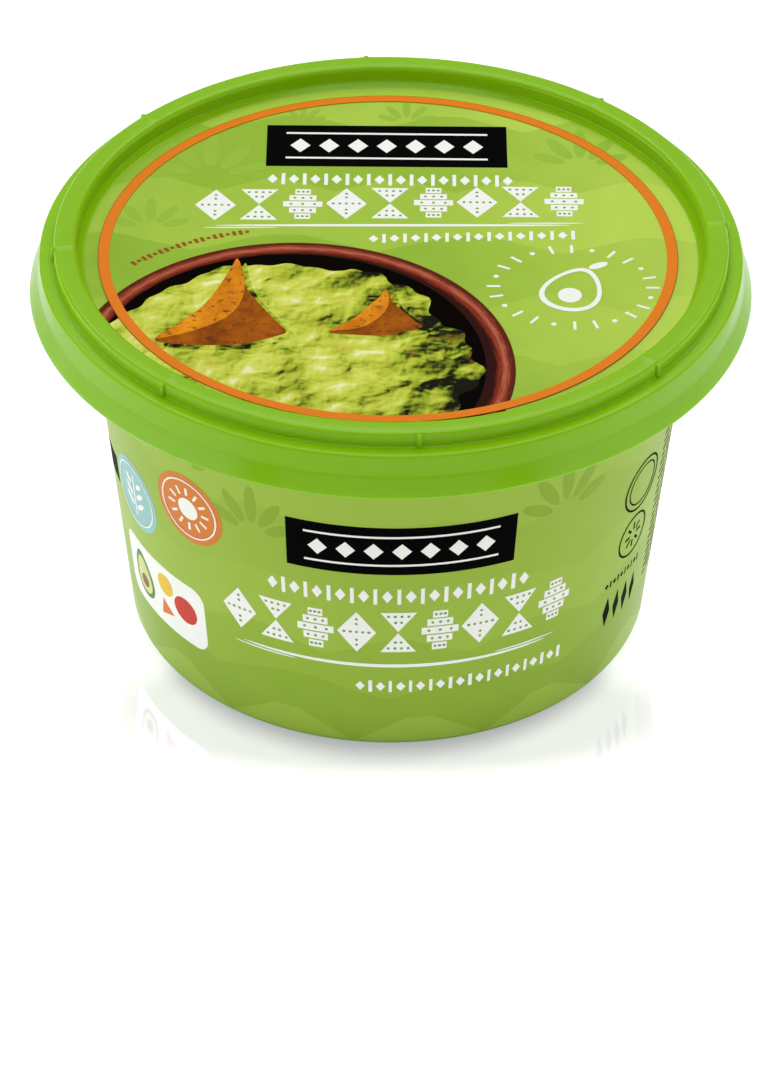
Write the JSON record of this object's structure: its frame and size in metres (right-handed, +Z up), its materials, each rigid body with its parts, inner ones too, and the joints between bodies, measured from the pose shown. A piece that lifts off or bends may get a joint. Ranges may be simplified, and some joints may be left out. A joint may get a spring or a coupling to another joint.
{
  "type": "shut dip tub with press-fit lid",
  "caption": "Round tapered dip tub, shut, with a raised-ring snap lid whose skirt overhangs the wall; it stands on a flat foot ring.",
  "frame": {"origin": "centre of the foot, on the surface that the tub stands on", "axes": "+Z up along the tub's axis, -Y towards the front of the print, +X to the right seen from the front"},
  "size_m": [0.101, 0.101, 0.0614],
  "materials": {
    "tub_label": "satin printed in-mould label on polypropylene",
    "lid_plastic": "satin moulded polypropylene, leaf green",
    "print_white": "white print under clear film",
    "print_black": "black print under clear film",
    "print_orange": "orange print under clear film",
    "print_picture": "printed picture of a dip under clear film"
  },
  "bodies": {
    "root": {"tub": "tub_label", "lid": "lid_plastic"}
  },
  "joints": []
}
